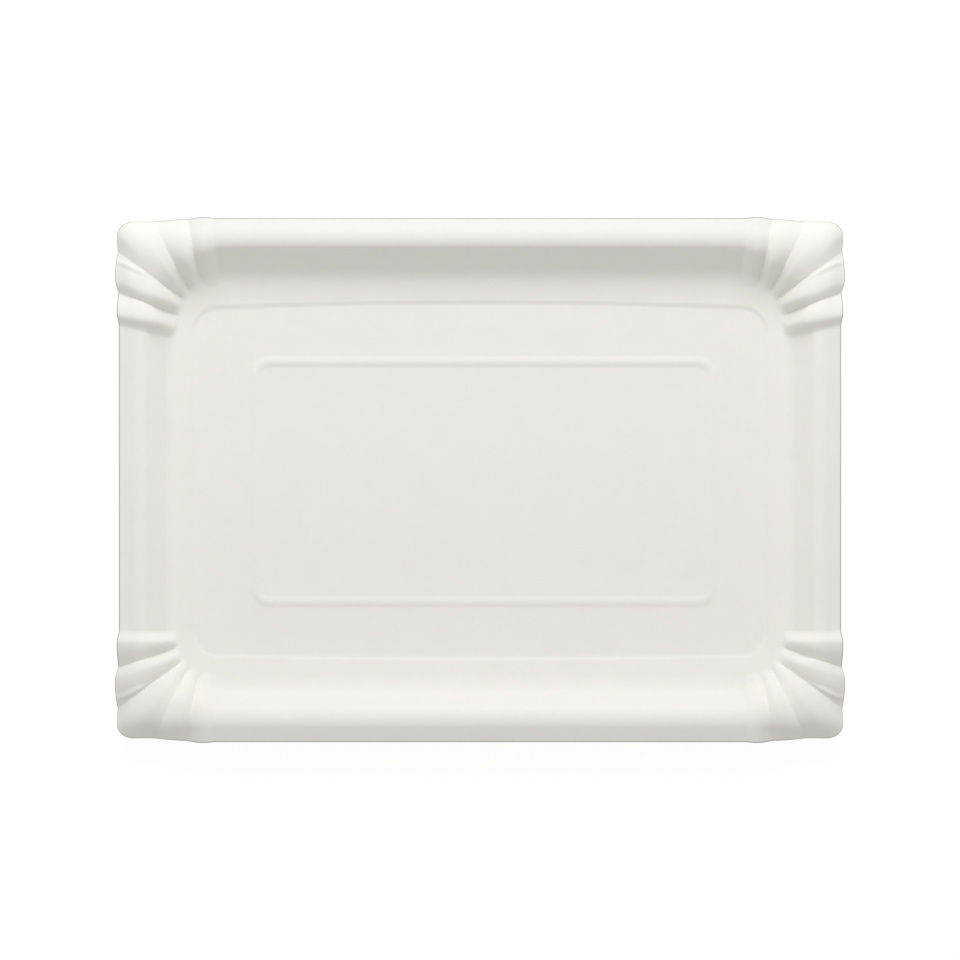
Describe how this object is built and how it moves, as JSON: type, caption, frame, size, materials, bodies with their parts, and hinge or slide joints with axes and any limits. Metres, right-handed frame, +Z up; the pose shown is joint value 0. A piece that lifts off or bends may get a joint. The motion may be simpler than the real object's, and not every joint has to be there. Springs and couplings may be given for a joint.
{
  "type": "rectangular tray",
  "caption": "Shallow rectangular tray pressed from one sheet of white paper board, with a beaded floor, sloping walls, a rolled rim and fluted corners, for serving or packing food.",
  "frame": {"origin": "middle of the flat underside of the floor, on the surface the tray stands on", "axes": "+X along the long sides, +Y across the tray, +Z up out of the open side"},
  "size_m": [0.23, 0.1654, 0.0177],
  "materials": {
    "white_board": "uncoated matt white paper board, slightly ivory"
  },
  "bodies": {
    "root": {"tray": "white_board"}
  },
  "joints": []
}
